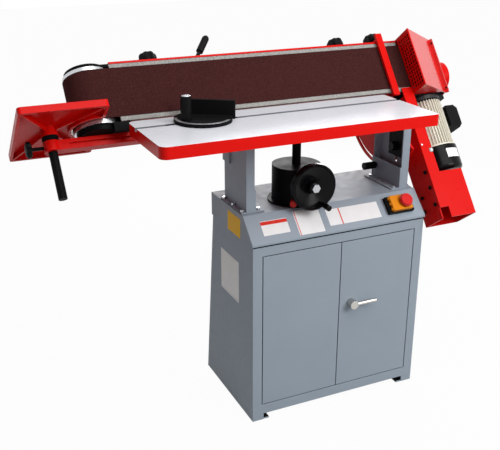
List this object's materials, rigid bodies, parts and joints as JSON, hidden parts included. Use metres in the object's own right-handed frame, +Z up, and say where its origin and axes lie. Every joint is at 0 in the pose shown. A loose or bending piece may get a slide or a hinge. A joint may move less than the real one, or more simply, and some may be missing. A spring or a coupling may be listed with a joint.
{
  "type": "edge sander",
  "caption": "Edge sander on a cabinet: an abrasive belt on upright drums in a tilting head, a lifting table with a mitre gauge, and an end table.",
  "frame": {"origin": "floor level, at the centre of the floor bolt pattern", "axes": "+X right along the belt, +Y to the back, +Z up"},
  "size_m": [1.457, 0.551, 1.1534],
  "materials": {
    "grey_paint": "satin powder coat on sheet steel",
    "red_enamel": "gloss enamel",
    "table_iron": "ground top, enamelled edges",
    "black_paint": "satin black paint",
    "black_plastic": "moulded",
    "steel": "turned and zinc plated",
    "chrome": "polished plate",
    "drum_metal": "turned",
    "abrasive": "grit on cloth",
    "platen_face": "graphite-faced",
    "motor_paint": "light paint on cast fins",
    "winding": "laminated",
    "yellow_plastic": "moulded",
    "red_plastic": "moulded",
    "green_plastic": "moulded"
  },
  "bodies": {
    "stand": {"cabinet": "grey_paint", "hood": "grey_paint", "columns": "grey_paint", "column_feet": "grey_paint", "frame_bolts": "steel", "pivot_brackets": "grey_paint", "pivot_pins": "steel", "jack_housing": "black_paint", "switch_base": "black_plastic"},
    "left_door": {"door_left": "grey_paint"},
    "right_door": {"door_right": "grey_paint"},
    "latch": {"door_handle": "chrome"},
    "table_body": {"table": "table_iron", "table_guides": "black_paint", "lift_spindle": "black_paint"},
    "table_lock": {"table_lock": "black_plastic"},
    "lift_wheel": {"handwheel": "black_plastic", "lift_pinion": "steel"},
    "crank_grip": {"wheel_grip": "black_plastic"},
    "lift_nut": {"lift_nut": "steel"},
    "lift_lock": {"lift_lock": "red_plastic"},
    "gauge": {"gauge_bar": "black_paint"},
    "gauge_head": {"gauge_head": "black_paint"},
    "gauge_handle": {"gauge_handle": "black_plastic"},
    "head": {"head_frame": "red_enamel", "platen": "platen_face", "belt": "abrasive", "belt_cover": "red_enamel", "tilt_quadrant": "red_enamel", "drive_bracket": "black_paint", "drive_guard": "red_enamel", "drum_cover": "red_enamel", "dust_chute": "red_enamel", "head_screws": "black_paint", "motor_body": "motor_paint", "motor_stator": "winding", "fan_cover": "black_paint", "terminal_box": "black_plastic", "end_arm": "red_enamel"},
    "drive": {"drive_drum": "drum_metal", "motor_rotor": "steel", "motor_fan": "black_plastic"},
    "idler_carriage": {"idler_yoke": "black_paint", "idler_axle": "steel", "idler_bearings": "steel"},
    "idler": {"idler_drum": "drum_metal"},
    "tension_lever": {"tension_lever": "black_plastic"},
    "end_table": {"end_table": "red_enamel", "end_post": "black_paint"},
    "end_knob": {"end_knob": "black_plastic"},
    "left_cover_knob": {"cover_knob_left": "black_plastic"},
    "right_cover_knob": {"cover_knob_right": "black_plastic"},
    "work_stop": {"work_stop": "red_enamel"},
    "work_stop_knob": {"work_stop_knob": "black_plastic"},
    "tilt_lock": {"tilt_lock": "black_plastic"},
    "switch_flap": {"switch_flap": "yellow_plastic"},
    "stop_mushroom": {"stop_mushroom": "red_plastic"},
    "stop_button": {"stop_button": "red_plastic"},
    "start_button": {"start_button": "green_plastic"}
  },
  "joints": [
    {"name": "left_door_swing", "type": "hinge", "parent": "stand", "child": "left_door", "pos_m": [-0.2635, -0.187, 0.31], "axis": [0, 0, -1], "range_deg": [0, 110]},
    {"name": "right_door_swing", "type": "hinge", "parent": "stand", "child": "right_door", "pos_m": [0.2635, -0.187, 0.31], "axis": [0, 0, 1], "range_deg": [0, 110]},
    {"name": "latch_turn", "type": "hinge", "parent": "right_door", "child": "latch", "pos_m": [0.042, -0.19, 0.352], "axis": [0, 1, 0], "range_deg": [0, 90]},
    {"name": "lift_wheel_turn", "type": "hinge", "parent": "stand", "child": "lift_wheel", "pos_m": [-0.089, -0.157, 0.746], "axis": [0, 1, 0], "range_deg": [-1445, 5045]},
    {"name": "crank_grip_spin", "type": "hinge", "parent": "lift_wheel", "child": "crank_grip", "pos_m": [-0.06877, -0.198, 0.69593], "axis": [0, 1, 0], "continuous": true},
    {"name": "lift_nut_turn", "type": "hinge", "parent": "stand", "child": "lift_nut", "pos_m": [-0.089, -0.05, 0.71], "axis": [0, 0, 1], "range_deg": [-5045, 1445]},
    {"name": "table_lift", "type": "slide", "parent": "stand", "child": "table_body", "axis": [0, 0, 1], "range_m": [-0.02, 0.07]},
    {"name": "lift_lock_turn", "type": "hinge", "parent": "stand", "child": "lift_lock", "pos_m": [-0.13563, -0.12463, 0.691], "axis": [-0.5299, -0.848, 0], "range_deg": [0, 180]},
    {"name": "table_lock_turn", "type": "hinge", "parent": "table_body", "child": "table_lock", "pos_m": [0.27, -0.044, 0.8], "axis": [1, 0, 0], "range_deg": [0, 180]},
    {"name": "gauge_slide", "type": "slide", "parent": "table_body", "child": "gauge", "axis": [1, 0, 0], "range_m": [-0.08, 0.5]},
    {"name": "gauge_swivel", "type": "hinge", "parent": "gauge", "child": "gauge_head", "pos_m": [-0.405, -0.086, 0.97], "axis": [0, 0, 1], "range_deg": [-115, 2]},
    {"name": "gauge_handle_turn", "type": "hinge", "parent": "gauge_head", "child": "gauge_handle", "pos_m": [-0.45649, -0.09216, 1], "axis": [0, 0, 1], "range_deg": [0, 180]},
    {"name": "head_tilt", "type": "hinge", "parent": "stand", "child": "head", "pos_m": [0, 0.068, 0.914], "axis": [-1, 0, 0], "range_deg": [-37, 53]},
    {"name": "drive_spin", "type": "hinge", "parent": "head", "child": "drive", "pos_m": [0.44, 0.12517, 0.98987], "axis": [0, 0.6018, 0.7986], "continuous": true},
    {"name": "idler_carriage_slide", "type": "slide", "parent": "head", "child": "idler_carriage", "axis": [1, 0, 0], "range_m": [0, 0.0117]},
    {"name": "idler_spin", "type": "hinge", "parent": "idler_carriage", "child": "idler", "pos_m": [-0.665, 0.12517, 0.98987], "axis": [0, 0.6018, 0.7986], "continuous": true},
    {"name": "tension_lever_swing", "type": "hinge", "parent": "head", "child": "tension_lever", "pos_m": [-0.361, 0.13112, 1.05426], "axis": [0, -0.7986, 0.6018], "range_deg": [0, 56]},
    {"name": "end_table_slide", "type": "slide", "parent": "head", "child": "end_table", "axis": [0, 0.6018, 0.7986], "range_m": [0, 0.11]},
    {"name": "end_knob_turn", "type": "hinge", "parent": "head", "child": "end_knob", "pos_m": [-0.848, 0.04657, 0.89885], "axis": [1, 0, 0], "range_deg": [0, 180]},
    {"name": "left_cover_knob_turn", "type": "hinge", "parent": "head", "child": "left_cover_knob", "pos_m": [-0.48, 0.15501, 1.0926], "axis": [0, 0.6018, 0.7986], "range_deg": [0, 180]},
    {"name": "right_cover_knob_turn", "type": "hinge", "parent": "head", "child": "right_cover_knob", "pos_m": [0.158, 0.15501, 1.0926], "axis": [0, 0.6018, 0.7986], "range_deg": [0, 180]},
    {"name": "work_stop_slide", "type": "slide", "parent": "head", "child": "work_stop", "axis": [0, 0.7986, -0.6018], "range_m": [-0.012, 0.003]},
    {"name": "work_stop_knob_turn", "type": "hinge", "parent": "head", "child": "work_stop_knob", "pos_m": [0.3005, 0.15961, 1.09539], "axis": [0, 0.6018, 0.7986], "range_deg": [0, 180]},
    {"name": "tilt_lock_turn", "type": "hinge", "parent": "stand", "child": "tilt_lock", "pos_m": [0.248, 0.03, 0.71764], "axis": [1, 0, 0], "range_deg": [0, 180]},
    {"name": "switch_flap_swing", "type": "hinge", "parent": "stand", "child": "switch_flap", "pos_m": [0.183, -0.17261, 0.65461], "axis": [0, -0.7071, -0.7071], "range_deg": [0, 110]},
    {"name": "stop_mushroom_press", "type": "slide", "parent": "switch_flap", "child": "stop_mushroom", "axis": [0, 0.7071, -0.7071], "range_m": [0, 0.0035], "stiffness_N_per_m": 1500},
    {"name": "stop_button_press", "type": "slide", "parent": "stand", "child": "stop_button", "axis": [0, 0.7071, -0.7071], "range_m": [0, 0.0015], "stiffness_N_per_m": 1500},
    {"name": "start_button_press", "type": "slide", "parent": "stand", "child": "start_button", "axis": [0, 0.7071, -0.7071], "range_m": [0, 0.0015], "stiffness_N_per_m": 1500}
  ],
  "couplings": [
    {"joint": "lift_wheel_turn", "follows": "table_lift", "rad_per_m": 1256.6},
    {"joint": "lift_nut_turn", "follows": "table_lift", "rad_per_m": -1256.6},
    {"joint": "tension_lever_swing", "follows": "idler_carriage_slide", "rad_per_m": 83.333},
    {"joint": "idler_spin", "follows": "drive_spin", "ratio": 1}
  ]
}
